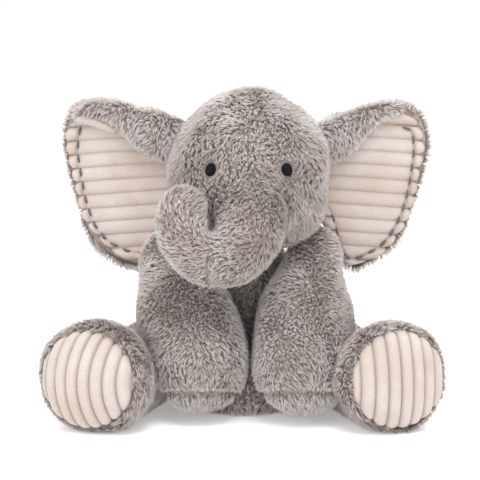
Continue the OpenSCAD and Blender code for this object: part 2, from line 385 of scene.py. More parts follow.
def rib_material():
    m = Nodes("ribbed_plush")
    at = m.place()
    valley_shade = m.add("ShaderNodeAttribute", {"attribute_name": "valley_shade"}).outputs["Fac"]
    cloud = m.ramp(m.noise(at, 28.0, 3.0), [(0.36, (0.49, 0.405, 0.35)),
                                            (0.64, (0.555, 0.49, 0.462))])
    fleck = m.ramp(m.noise(at, 750.0, 3.0), [(0.35, (0.88, 0.87, 0.86)), (0.62, (1, 1, 1))])
    pile = m.mix("MULTIPLY", 0.75, cloud, fleck)
    # Painted shade: a point attribute darkens the pile toward dark brown in the valleys between
    # ribs, at the ribs' ends and along the running stitch.
    colour = m.mix("MIX", valley_shade, pile, (0.27, 0.21, 0.19))
    m.set(Base_Color=colour, Roughness=0.88, Specular_IOR_Level=0.2, Sheen_Weight=0.5,
          Sheen_Roughness=0.35, Normal=m.bump(m.noise(at, 1100.0, 4.0), 0.55, 0.0005))
    return m.mat


def thread_material(name, low, high, rough, scale=1600.0, shine=0.4, sheen=0.15):
    m = Nodes(name)
    at = m.place()
    twist = m.add("ShaderNodeTexWave", {"bands_direction": "DIAGONAL"}, Vector=at,
                  Scale=scale, Distortion=1.5, Detail=2.0)
    tone = m.ramp(twist.outputs["Fac"], [(0.25, low), (0.75, high)])
    m.set(Base_Color=tone, Roughness=rough, Specular_IOR_Level=shine, Sheen_Weight=sheen,
          Normal=m.bump(twist.outputs["Fac"], 0.5, 0.0002))
    return m.mat


def label_material():
    m = Nodes("satin_label")
    at = m.place()
    warp = m.add("ShaderNodeTexWave", {"bands_direction": "Z"}, Vector=at, Scale=900.0)
    tone = m.ramp(warp.outputs["Fac"], [(0.2, (0.78, 0.76, 0.72)), (0.8, (0.90, 0.89, 0.86))])
    m.set(Base_Color=tone, Roughness=0.42, Normal=m.bump(warp.outputs["Fac"], 0.3, 0.0002))
    return m.mat


FUR = fur_material()
BACKING = backing_material()
RIB = rib_material()
DARK_THREAD = thread_material("stitch_thread", (0.06, 0.065, 0.072), (0.16, 0.165, 0.175), 0.7)
SEAM_THREAD = thread_material("seam_thread", (0.16, 0.14, 0.13), (0.36, 0.33, 0.31), 0.75)
SATIN = thread_material("eye_satin", (0.004, 0.004, 0.005), (0.012, 0.012, 0.016), 0.45, 2600.0,
                        shine=0.1, sheen=0.0)
LABEL = label_material()


# ---------------------------------------------------------------- fur
def sample(skin, density, rng):
    t = skin.all_tris()
    a, b, c = (skin.p[t[:, i]] for i in range(3))
    area = 0.5 * np.linalg.norm(np.cross(b - a, c - a), axis=1)
    n = int(area.sum() * density)
    pick = rng.choice(len(t), n, p=area / area.sum())
    s, w = np.sqrt(rng.random((n, 1))), rng.random((n, 1))
    weights = np.concatenate([1 - s, s * (1 - w), s * w], 1)
    corner = t[pick]
    nrm = skin.normals()
    p = np.einsum("ni,nij->nj", weights, skin.p[corner])
    return p, unit(np.einsum("ni,nij->nj", weights, nrm[corner]))


def clumped(p, rng, per_clump):
    """For each point, the index of the point that leads its tuft."""
    leaders = rng.choice(len(p), max(1, int(len(p) / per_clump)), replace=False)
    tree = kdtree.KDTree(len(leaders))
    for i, at in zip(leaders, p[leaders]):
        tree.insert(at, int(i))
    tree.balance()
    return np.array([tree.find(q)[1] for q in p])


SWIRL_WIDE, SWIRL_FINE = Waves(11, 46.0), Waves(12, 15.0)
TONE_WIDE, TONE_FINE = Waves(13, 40.0), Waves(14, 12.0)


def strands(p, n, comb, rng, length, lean=(28.0, 62.0), radius=0.2, per_clump=3.6,
            swirl=0.9, gather=0.48, light=0.0):
    """Tapered strands that stand on points p, as (points, uv) of seven corners each."""
    lead = clumped(p, rng, per_clump)
    count = len(p)
    own = rng.normal(size=count)
    turn = (swirl * (0.6 * SWIRL_WIDE(p) + 0.22 * SWIRL_FINE(p)) + 0.33 * own[lead]
            + 0.2 * rng.normal(size=count))
    way = comb(p, n)
    way = unit(way - np.einsum("ij,ij->i", way, n)[:, None] * n)
    side = np.cross(n, way)
    way = np.cos(turn)[:, None] * way + np.sin(turn)[:, None] * side
    low, high = (np.radians(x + 7.0 * (0.6 * own[lead] + rng.normal(size=count))) for x in lean)
    size = (length if np.ndim(length) else np.full(count, length)) * rng.uniform(0.8, 1.15, count)
    start = p - 0.5 * n
    mid = start + (0.5 * size)[:, None] * (np.cos(low)[:, None] * n + np.sin(low)[:, None] * way)
    tip = mid + (0.5 * size)[:, None] * (np.cos(high)[:, None] * n + np.sin(high)[:, None] * way)
    near = np.linalg.norm(p - p[lead], axis=1) < 4.5
    pull = (gather * near)[:, None]
    tip = tip + pull * (tip[lead] - tip)
    mid = mid + 0.4 * pull * (mid[lead] - mid)
    ways = unit(tip - start)
    x = unit(np.cross(ways, n + 1e-3))
    y = np.cross(ways, x)
    spin = rng.uniform(0, 2 * math.pi, count)
    out = np.zeros((count, 7, 3))
    for k in range(3):
        a = spin + k * 2 * math.pi / 3
        d = np.cos(a)[:, None] * x + np.sin(a)[:, None] * y
        out[:, k] = start + radius * d
        out[:, 3 + k] = mid + 0.85 * radius * d
    out[:, 6] = tip
    out[:, :, 2] = np.maximum(out[:, :, 2], FLOOR_GAP)
    # Painted light: a strand's shade is moved lighter or darker where light falls or shade lies, on
    # top of tone that differs at random.
    shade = (0.52 + light + 0.13 * TONE_WIDE(p) + 0.08 * TONE_FINE(p) + 0.12 * own[lead]
             + 0.07 * rng.normal(size=count))
    uv = np.zeros((count, 7, 2))
    spread = np.array([0, .002, .004, 0, .002, .004, .002])
    uv[:, :, 0] = np.clip(shade, 0.02, 0.98)[:, None] + spread
    uv[:, 3:6, 1] = 0.5
    uv[:, 6, 1] = 1.0
    return out, uv


STRAND_Q = np.array([[0, 1, 4, 3], [1, 2, 5, 4], [2, 0, 3, 5]])
STRAND_T = np.array([[3, 4, 6], [4, 5, 6], [5, 3, 6], [2, 1, 0]])
MOST_STRANDS = 19500


def fur_objects(name, made, split_axis=2):
    """Objects of at most MOST_STRANDS strands each."""
    points, uv = (np.concatenate([m[i] for m in made]) for i in range(2))
    order = np.argsort(points[:, 0, split_axis])
    parts = math.ceil(len(points) / MOST_STRANDS)
    out = []
    for i, chunk in enumerate(np.array_split(order, parts)):
        base = (np.arange(len(chunk)) * 7)[:, None, None]
        skin = Skin(points[chunk].reshape(-1, 3), (base + STRAND_Q).reshape(-1, 4),
                    (base + STRAND_T).reshape(-1, 3))
        out.append(make_object(f"{name}_{i + 1}" if parts > 1 else name, skin, FUR,
                               uv=uv[chunk].reshape(-1, 2)))
    return out


def fur(name, made, body, split_axis=2):
    for ob in fur_objects(name, made, split_axis):
        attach(ob, body)


FULL_DENSITY, QUICK_DENSITY = 1.3, 0.3      # strands for each square mm
DENSITY = FULL_DENSITY
STRAND_R, QUICK_STRAND_R = 0.2, 0.48


def grow(skin, comb, seed, length=9.0, density=1.0, keep=None, shape=None, **style):
    """Fur on a skin. keep says which roots stay, shape gives each root's share of length."""
    rng = np.random.default_rng(seed)
    p, n = sample(skin, DENSITY * density, rng)
    stay = ((p[:, 2] > 1.5) | (n[:, 2] > -0.8)) & (rng.random(len(p)) > 0.4 * (n[:, 1] > 0.45))
    if keep is not None:
        stay &= keep(p, n)
    p, n = p[stay], n[stay]
    size = length * (shape(p, n) if shape is not None else 1.0)
    if callable(style.get("light")):
        style["light"] = style["light"](p)
    style.setdefault("radius", STRAND_R)
    return strands(p, n, comb, rng, size, **style)


# ---------------------------------------------------------------- the forms
def mirrored(v, side):
    return np.array([side * v[0], v[1], v[2]])


torso = Turned(TORSO_AT, [0, 0, 1], np.array([
    [0, 0.1], [0, 0.5], [0.3, 0.86], [6, 0.96], [30, 1.0], [60, 0.9], [82, 0.81], [97, 0.73],
    [106, 0.6], [113, 0.38], [116, 0.05]]) * [1, TORSO_R])
head_axis = np.array([0.0, -math.cos(HEAD_TILT), -math.sin(HEAD_TILT)])
head = Turned(HEAD_AT, head_axis, np.array([
    [-1, 0.02], [-0.93, 0.36], [-0.7, 0.714], [-0.35, 0.937], [0, 1.0], [0.32, 0.975],
    [0.6, 0.85], [0.86, 0.61], [1.14, 0.44], [1.2, 0.1]]) * HEAD_R, sides=72)
neck = Tube([NECK - [0, 0, 6], NECK, NECK + [0, 0, 6]], [24, 25.5, 24])
TRUNK = [((5, -62, 156.5), 24.5), ((5, -72, 152.8), 23.0), ((5.2, -85, 144.5), 21.3),
         ((2.5, -94.5, 134), 20.0), ((-6, -99.5, 125.3), 18.0), ((-19, -101.5, 121.8), 15.9),
         ((-31.5, -101, 125.3), 14.8), ((-39.5, -98.5, 134.5), 14.1),
         ((-42, -95.5, 146.5), 13.7), ((-41, -92, 156.5), 12.9)]
trunk = Tube([t[0] for t in TRUNK], [t[1] for t in TRUNK])
ARM_LINE = [[-31, 0.1], [-29, 6], [-22, 13.5], [-11, 18], [0, 20.3], [16, 25.5], [32, 31.3],
            [52, 34.2], [71, 34.8], [85.5, 32.8], [95, 27.5], [102, 19], [105.5, 11], [106.5, 1]]
LEG_LINE = np.array([[-27, 0.1], [-24.3, 11.8], [-16.2, 21.6], [0, 27], [22, 27.2], [46, 27.2],
                     [66, 28.2], [82, 31.6], [96, 36.1], [108, 38], [116, 37.0], [120, 34.2],
                     [120.6, 30], [120.8, 1]])
arms = {s: Turned(SHOULDER[s], ARM_AIM[s], ARM_LINE) for s in (1, -1)}
legs = {s: Turned(mirrored(HIP, s), mirrored(LEG_AIM, s), LEG_LINE) for s in (1, -1)}
SIDES = {1: "left", -1: "right"}
lumps = Waves(3, 42.0)
DOWN = np.array([0.0, 0.0, -1.0])


def clear_of(*forms, room=0.8):
    """Roots stay unless they are in, or within room of, another form."""
    def keep(p, n):
        ok = np.ones(len(p), bool)
        for f in forms:
            ok &= f.depth(p) < -room
        return ok
    return keep


def both(*tests):
    return lambda p, n: np.logical_and.reduce([t(p, n) for t in tests])


LEG_SAG, BELLY_PUSH, JOWL_PUSH = 5.5, 26.0, 6.5


def sagged(skin, form):
    """The slack middle of a leg sinks to the floor and towards the other leg."""
    h = (skin.p - form.at) @ form.v
    share = eased(np.clip((h + 5) / 40, 0, 1) * np.clip((104 - h) / 40, 0, 1))
    move = LEG_SAG * np.array([-np.sign(form.at[0]), 0.0, -1.0])
    return Skin(skin.p + share[:, None] * move, skin.q, skin.t)


def soft(skin, amount):
    return skin.pushed(amount * lumps(skin.p)).grounded()


CLOTH_CELL, CLOTH_CAP, CLOTH_FRAMES, CLOTH_PRESSURE = 5.0, 5.0, 20, 4.0
START_INSET = 1.2           # a form starts this much smaller, because it swells


def stuffed(name, skin, cell=CLOTH_CELL):
    """The skin after a short cloth simulation in which the stuffing pushes from inside."""
    scene = bpy.context.scene
    ob = make_object(name + "_cloth", skin.pushed(-START_INSET), BACKING)
    remesh = ob.modifiers.new("remesh", "REMESH")
    remesh.mode, remesh.voxel_size = "VOXEL", cell * MM
    ob.data = bpy.data.meshes.new_from_object(
        ob.evaluated_get(bpy.context.evaluated_depsgraph_get()))
    ob.modifiers.clear()

    def points(mesh):
        co = np.zeros(len(mesh.vertices) * 3)
        mesh.vertices.foreach_get("co", co)
        return co.reshape(-1, 3) / MM - SHIFT

    before = points(ob.data)
    cloth = ob.modifiers.new("cloth", "CLOTH")
    cloth.settings.use_pressure = True
    cloth.settings.uniform_pressure_force = CLOTH_PRESSURE
    cloth.settings.effector_weights.gravity = 0.0
    cloth.point_cache.frame_start, cloth.point_cache.frame_end = 1, CLOTH_FRAMES
    for frame_number in range(1, CLOTH_FRAMES + 1):
        scene.frame_set(frame_number)
    after = points(ob.evaluated_get(bpy.context.evaluated_depsgraph_get()).data)
    scene.frame_set(1)
    ob.modifiers.clear()
    move = after - before
    size = np.linalg.norm(move, axis=1, keepdims=True)
    after = before + move * np.minimum(1, CLOTH_CAP / np.maximum(size, 1e-6))
    ob.data.vertices.foreach_set("co", ((after + SHIFT) * MM).ravel())
    ob.data.update()
    ob.modifiers.new("smooth", "SUBSURF").levels = 1
    mesh = bpy.data.meshes.new_from_object(
        ob.evaluated_get(bpy.context.evaluated_depsgraph_get()))
    corners = np.zeros(len(mesh.loops), int)
    mesh.loops.foreach_get("vertex_index", corners)
    result = Skin(points(mesh), corners.reshape(-1, 4)).grounded()
    bpy.data.objects.remove(ob)
    return result


def belly(skin):
    """The slack front of the seat pushes forward between the legs."""
    front = np.clip((TORSO_AT[1] - skin.p[:, 1]) / 40, 0, 1)
    low = np.clip(1 - skin.p[:, 2] / 48, 0, 1)
    move = (-BELLY_PUSH * front * low)[:, None] * np.array([0, 1.0, 0])
    return Skin(skin.p + move, skin.q, skin.t)


def jowls(skin):
    """Fuller cheeks low on each side of the face."""
    away = unit(skin.p - HEAD_AT)
    push = sum(np.exp(-((1 - away @ unit([x, -0.42, -0.72])) / 0.13)) for x in (0.62, -0.62))
    return skin.pushed(JOWL_PUSH * push)


# Torso
torso_skin = stuffed("torso", belly(soft(torso.skin(), 0.8)))
piece("torso_plush", torso_skin, BACKING, "torso", "torso_cover", "torso_stuffing", "pellet_bag",
      fill=0.8)


def off_seam(p, n):
    """Away from the closing seam on the back."""
    return ~((np.abs(p[:, 0]) < 1.6) & (p[:, 1] > 40) & (p[:, 2] > 44) & (p[:, 2] < 84))


made = grow(torso_skin, lambda p, n: np.array([0, -0.15, -1.0]) + 0 * p, 21, 8.0,
            keep=both(clear_of(legs[1], legs[-1], head), off_seam))
fur("torso_fur", [made], "torso")

# Neck
neck_skin = neck.skin(round_start=True)
piece("neck_plush", neck_skin, BACKING, "neck", "neck_tube", fill=0.7)
made = grow(neck_skin, lambda p, n: DOWN + 0 * p, 22, 6.0,
            keep=clear_of(head, torso, arms[1], arms[-1]))
fur("neck_fur", [made], "neck")

# Head
head_skin = stuffed("head", jowls(soft(head.skin(), 0.9)))


def eye_frame(side):
    turn, slope = math.radians(38.6), math.radians(55)
    a, b, v = axes_of(head_axis)
    a = a if a[0] > 0 else -a
    out = a * side * math.cos(turn) + b * math.sin(turn)
    at = HEAD_AT + [-0.4, 0, 0.4] + head_axis * 0.848 * HEAD_R + out * 0.61 * HEAD_R
    normal = unit(head_axis * math.cos(slope) + out * math.sin(slope))
    return at, normal


EYES = {s: eye_frame(s) for s in (1, -1)}


def eye_distance(p):
    return np.min([np.linalg.norm(p - EYES[s][0], axis=1) for s in (1, -1)], axis=0)


def head_comb(p, n):
    """Down the face and cheeks, over the crown, and away from the eyes."""
    way = np.array([0.0, -0.45, -1.0]) + 0 * p
    x = p[:, 0] - HEAD_AT[0]
    way[:, 0] += 0.5 * np.sign(x) * np.clip(np.abs(x) / 40, 0, 1)
    for s in (1, -1):
        d = p - EYES[s][0]
        w = np.exp(-(np.linalg.norm(d, axis=1) / 7.0) ** 2)[:, None]
        way = way * (1 - w) + unit(d) * 2.5 * w
    return way


def head_length(p, n):
    return np.clip(0.3 + 0.1 * (eye_distance(p) - EYE_R - 1), 0.3, 1.0)


def head_light(p):
    """Painted light: lighter over the crown and darker low on the head, where less light falls from
    above.
    """
    return np.clip((p[:, 2] - 188) / 90, -0.25, 0.25)


piece("head_plush", head_skin, BACKING, "head", "head_cover", "head_stuffing", fill=0.9)
made = grow(head_skin, head_comb, 23, 7.8, light=head_light, shape=head_length, keep=both(
    clear_of(neck, room=-1.0), clear_of(trunk, room=-1.5),
    lambda p, n: eye_distance(p) > EYE_R + 0.7))
fur("head_fur", [made], "head", split_axis=1)


def satin_eye(side):
    """Rows of raised satin stitches across a low dome, inside a stitched ring."""
    at, normal = EYES[side]
    a = unit(np.cross(normal, [0, 0, 1.0]))
    b = np.cross(a, normal)
    base = at + 0.5 * normal
    pieces = None
    rows = 15
    for i in range(rows):
        c = (i + 0.5) / rows * 2 - 1
        half = EYE_R * math.sqrt(max(0.0, 1 - c * c)) * 0.97
        t = np.linspace(-1, 1, 9)
        rise = 1.7 * np.sqrt(np.clip(1.02 - c * c - (t * half / EYE_R) ** 2, 0, 1))
        line = (base + (c * EYE_R) * a + (t * half)[:, None] * b + rise[:, None] * normal)
        tube = Tube(line, np.full(9, 0.36), steps=1, sides=8).skin(round_start=True)
        pieces = tube if pieces is None else pieces.join(tube)
    turn = np.linspace(0, 2 * math.pi, 25)
    ring = base + EYE_R * (np.cos(turn)[:, None] * a + np.sin(turn)[:, None] * b) + 0.25 * normal
    pieces = pieces.join(Tube(ring, np.full(25, 0.5), steps=1, sides=8).skin(round_end=False))
    dome = Turned(base, normal, [[-1.2, EYE_R], [0.0, EYE_R], [0.9, EYE_R * 0.86],
                                 [1.45, EYE_R * 0.5], [1.6, 0.1]], sides=32).skin()
    piece(f"{SIDES[side]}_eye_embroidery", pieces.join(dome), SATIN, "head",
          f"{SIDES[side]}_eye")


# Trunk: two lengths, split midway between the places of its two joints
JOINTS = {j["name"]: j for j in frame["record"]["behaviour"]["joints"]}


def bend_at(name):
    return np.array(JOINTS[name]["pos_m"]) / MM - SHIFT


def trunk_index(at):
    return int(np.argmin(np.linalg.norm(trunk.c - at, axis=1)))


first, second = trunk_index(bend_at("trunk_curl")), trunk_index(bend_at("trunk_tip_curl"))
middle = (first + second) // 2


def blended(ob, a, b, joint, index):
    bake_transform(ob)


upper_skin = soft(trunk.skin(last=middle + 1, round_end=False), 0.5)
lower_skin = soft(trunk.skin(first=middle), 0.5)
upper = make_object("trunk_upper_plush", upper_skin, BACKING)
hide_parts("trunk_base_cover", "trunk_base_stuffing")
blended(upper, "head", "trunk_mid", "trunk_curl", first)
lower = make_object("trunk_lower_plush", lower_skin, BACKING)
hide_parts("trunk_mid_cover", "trunk_mid_stuffing", "trunk_tip_cover",
            "trunk_tip_stuffing")
blended(lower, "trunk_mid", "trunk_tip", "trunk_tip_curl", second)


def trunk_comb(p, n):
    return trunk.way(p) + 0.25 * DOWN


for name, skin, seed, keep, args in (
        ("trunk_upper_fur", upper_skin, 24, clear_of(head, room=-0.5),
         ("head", "trunk_mid", "trunk_curl", first)),
        ("trunk_lower_fur", lower_skin, 25, None,
         ("trunk_mid", "trunk_tip", "trunk_tip_curl", second))):
    # Painted shade: the trunk fur is painted darker than the head.
    made = grow(skin, trunk_comb, seed, 6.6, light=-0.14, density=1.1, keep=keep)
    for ob in fur_objects(name, [made]):
        blended(ob, *args)


# Arms
def sole_seam(p):
    """Distance from the level of the seam that joins a sole to its arm."""
    return np.abs((p - [0, -92.0, 28.5]) @ unit([0, 0.28, 1.0]))


PAW_SINK = {1: 6.5, -1: 5.0}
# Per arm: how deep the crease round the sole is pushed in, in mm, and how strong the painted shade
# along it is.
CREASE_DEPTH, CREASE_PAINTED_SHADE = {1: 0.5, -1: 1.1}, {1: 0.1, -1: 0.3}


def heavy(skin, sink):
    """The filling of a paw sinks, so that its lower edge hangs down."""
    low = eased((50 - skin.p[:, 2]) / 26)
    return Skin(skin.p + low[:, None] * np.array([0, -1.0, -sink]), skin.q, skin.t)


for s in (1, -1):
    form, word = arms[s], SIDES[s]
    skin = heavy(stuffed(word + "_arm", soft(form.skin(), 0.8), 3.4), PAW_SINK[s])
    crease = np.exp(-(sole_seam(skin.p) / 2.2) ** 2)
    skin = skin.pushed(-CREASE_DEPTH[s] * crease).grounded()
    piece(f"{word}_arm_plush", skin, BACKING, f"{word}_arm", f"{word}_arm_cover",
          f"{word}_arm_stuffing", f"{word}_arm_sole", fill=0.85)

    def arm_length(p, n):
        """Shorter fur in the crease round the sole."""
        return np.clip(sole_seam(p) / 3.0, 0.45, 1.0)

    # Painted light and shade: the arm fur is painted lighter all over, and painted shade darkens it
    # in a band along the crease round the sole.
    def arm_light(p):
        return 0.17 - CREASE_PAINTED_SHADE[s] * np.exp(-(sole_seam(p) / 1.8) ** 2)

    made = grow(skin, lambda p, n: 0.6 * arms[s].v + 0.6 * DOWN + 0 * p, 26 + s, 6.2,
                shape=arm_length, light=arm_light, density=1.2, lean=(18.0, 52.0), per_clump=4.0,
                keep=clear_of(torso, room=0.3))
    fur(f"{word}_arm_fur", [made], f"{word}_arm")

# Legs
PAD_R, PAD_RISE, PAD_PITCH = 33.4, 14.0, 8.7
PAD_BOW = {1: 0.04, -1: 0.2}        # how far the ribs bow, as a share of the radius
for s in (1, -1):
    form, word = legs[s], SIDES[s]
    skin = stuffed(word + "_leg", soft(sagged(form.skin(), form), 0.8))
    piece(f"{word}_leg_plush", skin, BACKING, f"{word}_leg", f"{word}_leg_cover",
          f"{word}_leg_stuffing", fill=0.85)

    def off_pad(p, n, form=form):
        d = p - form.at
        h = d @ form.v
        return ~((h > 118) & (np.linalg.norm(d - h[:, None] * form.v, axis=1) < PAD_R))

    def leg_comb(p, n, form=form):
        return 0.75 * form.v + 0.45 * DOWN + 0 * p

    # Painted shade: the leg fur is painted darker, as low parts get less light from above.
    made = grow(skin, leg_comb, 30 + s, 7.6, light=-0.14,
                keep=both(clear_of(torso, room=0.3), off_pad))
    fur(f"{word}_leg_fur", [made], f"{word}_leg")


# ---------------------------------------------------------------- ribbed plush
def crossings(outline, q):
    """Lowest and highest s where a closed outline of (s, q) points crosses the line at q."""
    a, b = outline, np.roll(outline, -1, axis=0)
    hit = (a[:, 1] > q) != (b[:, 1] > q)
    if not hit.any():
        return None
    t = (q - a[hit, 1]) / (b[hit, 1] - a[hit, 1])
    s = a[hit, 0] + t * (b[hit, 0] - a[hit, 0])
    return s.min(), s.max()


def ribbed(outline, pitch, phase, place, rise, ends=(1.0, 1.0), puff=None, tone=None,
           along=44, across=12, curve=0.62):
    """A padded sheet of ribbed plush over an outline in (s, q), with s along the ribs.
    place(s, q, h) gives points, puff(s, q) a share of the height, tone(s, q) how dark the
    painted shade in the valleys is, and ends how far the two ends of each rib bulge."""
    low, high = outline[:, 1].min() + 0.3, outline[:, 1].max() - 0.3
    first, last = math.floor((low - phase) / pitch), math.ceil((high - phase) / pitch)
    cells = np.arange(first * across, last * across + 1) / across
    q = phase + pitch * cells
    q = np.concatenate([[low], q[(q > low + 0.05) & (q < high - 0.05)], [high]])
    c = 2 * (((q - phase) / pitch) % 1.0) - 1
    limits = np.array([crossings(outline, x) for x in q])
    bulge = np.sqrt(np.clip(1 - c * c, 0, 1)) - 0.9
    reach_in = np.minimum(1, (limits[:, 1] - limits[:, 0]) / 12)
    s0 = limits[:, 0] - ends[0] * bulge * reach_in
    s1 = limits[:, 1] + ends[1] * bulge * reach_in
    t = 0.5 - 0.5 * np.cos(np.linspace(0, math.pi, along))
    s = s0[:, None] + (s1 - s0)[:, None] * t
    qq = np.repeat(q[:, None], along, 1)
    reach = np.minimum(s - s0[:, None], s1[:, None] - s)
    e = np.clip(reach / (0.45 * pitch), 0, 1)
    side = np.clip(np.minimum(q - low, high - q) / (0.35 * pitch), 0, 1)[:, None]
    h = rise * np.clip(1 - c * c, 0, 1)[:, None] ** curve * np.sqrt(e * (2 - e) * side * (2 - side))
    if puff is not None:
        h = h * puff(s, qq)
    top = place(s.ravel(), qq.ravel(), h.ravel())
    under = place(s.ravel(), qq.ravel(), np.full(h.size, -1.3))
    rows, n = len(q), h.size
    faces = loft_faces(rows, along, wrap=False)
    rim = np.concatenate([np.arange(along), np.arange(1, rows) * along + along - 1,
                          (rows - 1) * along + np.arange(along - 2, -1, -1),
                          np.arange(rows - 2, 0, -1) * along])
    nxt = np.roll(rim, -1)
    wall = np.stack([rim, nxt, nxt + n, rim + n], 1)
    sheet = Skin(np.concatenate([top, under]),
                 np.concatenate([faces, faces[:, ::-1] + n, wall[:, ::-1]]))
    # Painted shade, strongest in the valleys between ribs and at the ribs' ends; it is returned
    # with the sheet.
    valley_shade = np.exp(-(1 - np.abs(c)) / 0.2)[:, None] * np.ones((1, along))
    valley_shade = np.maximum(valley_shade, 0.9 * np.exp(-reach / 0.9))
    if tone is not None:
        valley_shade = valley_shade * tone(s, qq)
    return sheet, np.concatenate([valley_shade.ravel(), np.ones(n)])


def skin_top(skin):
    return (skin.normals()[:, 1] < 0.6).astype(float)


def facing(skin, way):
    """Turns every face over if the raised side looks the wrong way."""
    n = skin.normals()
    top = skin.p @ way > np.median(skin.p @ way)
    if (n[top] @ way).mean() < 0:
        skin.q, skin.t = skin.q[:, ::-1], skin.t[:, ::-1]
    return skin


def pad(side):
    form, word = legs[side], SIDES[side]
    centre = form.at + (LEG_LEN - 1.0) * form.v

    def dome(r):
        return PAD_RISE * np.clip(1 - (r / PAD_R) ** 2, 0, 1) ** 0.7

    bow = PAD_BOW[side] * np.sign(form.a[0]) / PAD_R

    def place(s, q, h):
        q = q + bow * s * s
        r = np.hypot(s, q)
        out = unit(np.stack([q / PAD_R * 0.5, s / PAD_R * 0.5, np.ones_like(s)], 1))
        flat = centre + q[:, None] * form.a + s[:, None] * form.b + dome(r)[:, None] * form.v
        return flat + h[:, None] * (out[:, :1] * form.a + out[:, 1:2] * form.b
                                    + out[:, 2:] * form.v)

    turn = np.linspace(0, 2 * math.pi, 96, endpoint=False)
    outline = PAD_R * np.stack([np.cos(turn), np.sin(turn)], 1)
    outline[:, 1] -= bow * outline[:, 0] ** 2
    # The pad's ribs carry painted shade in their valleys at 0.6 strength.
    skin, valley_shade = ribbed(outline, PAD_PITCH, 0.3 * PAD_PITCH, place, 3.0, ends=(2.4, 2.4),
                          tone=lambda s, q: 0.6 + 0 * s)
    piece(f"{word}_foot_pad_ribbed", facing(skin, form.v), RIB, f"{word}_leg",
          f"{word}_foot_pad", fill=0.8, values=valley_shade)


# ---------------------------------------------------------------- ears
# Outlines are (outward from the middle of the head, height), seen from the front.
EAR_EDGE = {
    -1: [(61.3, 215.7), (78.2, 218.5), (93.0, 222.8), (111.4, 224.8), (126.3, 221.0),
         (133.1, 211.4), (136.3, 196.6), (135.1, 181.8), (131.6, 163.2), (126.7, 144.6),
         (121.7, 127.5), (112.9, 112.5), (98.0, 102.2), (84.1, 97.5), (75.9, 99.2),
         (64, 119), (53, 138), (49, 166), (47, 195)],
    1: [(57.2, 209.9), (71.9, 214.9), (90.3, 220.6), (101.3, 223.5), (116.2, 222.6),
        (127.4, 216.6), (133.6, 204.0), (135.3, 189.2), (133.3, 174.4), (129.1, 155.8),
        (123.4, 139.4), (117.6, 124.5), (106.6, 111.1), (91.7, 101.6), (79.8, 95.8),
        (73.5, 101.2), (63.6, 119.4), (53.8, 138.3), (49, 166), (46, 192)]}
LINING_EDGE = {
    -1: [(119.7, 208.6), (129.5, 205.3), (133.3, 197.8), (133.0, 188.5), (131.2, 178.1),
         (129.0, 168.5), (126.8, 158.1), (124.8, 147.6), (122.4, 137.2), (116.8, 128.6),
         (109.5, 120.1), (103.4, 113.5), (97.5, 109.0), (89.2, 104.6), (77.5, 103.6),
         (66, 119), (56, 137), (53, 156), (53, 172), (64.1, 178.7), (77.2, 187.1),
         (88.5, 198.4), (96.8, 206.0), (108, 209)],
    1: [(99.9, 210.4), (111.7, 213.4), (117.8, 211.6), (124.6, 207.4), (129.0, 198.9),
        (130.6, 189.3), (129.9, 180.9), (128.1, 173.3), (126.8, 165.8), (125.9, 158.1),
        (124.2, 148.6), (121.4, 140.1), (117.8, 130.5), (113.2, 123.9), (107.6, 115.4),
        (100.2, 107.9), (90.8, 103.4), (81.2, 100.8), (75.6, 99.7), (71.7, 104.5),
        (65.9, 112.3), (58.1, 127.0), (53.4, 138.3), (52, 156), (54, 171), (64.3, 178.4),
        (75.6, 185.3), (86.8, 199.3), (93.4, 205.4)]}
STITCH_LINE = {
    -1: [(122.0, 203.5), (124.0, 192.3), (124.3, 182.7), (122.9, 172.3), (121.2, 161.1),
         (119.4, 150.7), (116.4, 140.3), (112.7, 130.6), (106.6, 122.1), (100.6, 116.5),
         (94.8, 114.1), (87.4, 110.9), (77.0, 108.2)],
    1: [(114.1, 202.9), (120.4, 200.2), (122.6, 192.3), (122.7, 181.0), (121.2, 169.6),
        (119.9, 160.1), (117.6, 149.7), (114.9, 140.2), (111.2, 131.6), (106.0, 122.6),
        (99.0, 114.6), (89.7, 109.3), (82.1, 105.8), (75.1, 106.4), (71.2, 111.6),
        (67.3, 123.8), (63.6, 136.2), (58.6, 147.2)]}
FOLD_TOP = {-1: [(124, 213.5), (111, 219.5), (93, 218.4), (78, 214), (61, 211), (44, 205)],
            1: [(113, 218), (101, 219), (90, 216.2), (72, 210.5), (57, 205.5), (44, 200)]}
FOLD_LOW = {
    -1: [(123, 209.5), (112.8, 212.6), (96.8, 207.2), (77.2, 189.1), (64.1, 182.5), (48, 176)],
    1: [(108, 214), (99.9, 212.0), (86.8, 201.5), (75.6, 187.8), (64.3, 181.4), (47, 174)]}
RIB_PITCH, RIB_TILT, RIB_RISE = 10.2, math.radians(4.8), 2.7
RIB_PHASE = {-1: (115.0, 193.5), 1: (105.0, 174.4)}


def ear_point(side, u, z, y):
    """Places a point of the ear: y is behind the lining's plane, whose edges curl forward."""
    x = u - EAR_HINGE
    curl = 3.0 * np.clip((u - 95) / 40, 0, 1) ** 2 - 1.5 * np.clip((z - 195) / 30, 0, 1)
    curl = curl - 2.0 * np.clip((112 - z) / 14, 0, 1) ** 2
    y = y - curl * 0.8
    a = x * math.cos(EAR_SWEEP) - y * math.sin(EAR_SWEEP)
    b = x * math.sin(EAR_SWEEP) + y * math.cos(EAR_SWEEP)
    return np.stack([EAR_FROM + side * (EAR_HINGE + a), b + 0 * a, z + 0 * a], -1)


def line_distance(u, z, line):
    """Distance of points to a polyline, and on which side of it they are."""
    best, sign = np.full(np.shape(u), 1e3), np.zeros(np.shape(u))
    for (au, az), (bu, bz) in zip(line[:-1], line[1:]):
        du, dz = bu - au, bz - az
        t = np.clip(((u - au) * du + (z - az) * dz) / (du * du + dz * dz), 0, 1)
        d = np.hypot(u - au - t * du, z - az - t * dz)
        closer = d < best
        best = np.where(closer, d, best)
        sign = np.where(closer, np.sign((z - az) * du - (u - au) * dz), sign)
    return best, sign


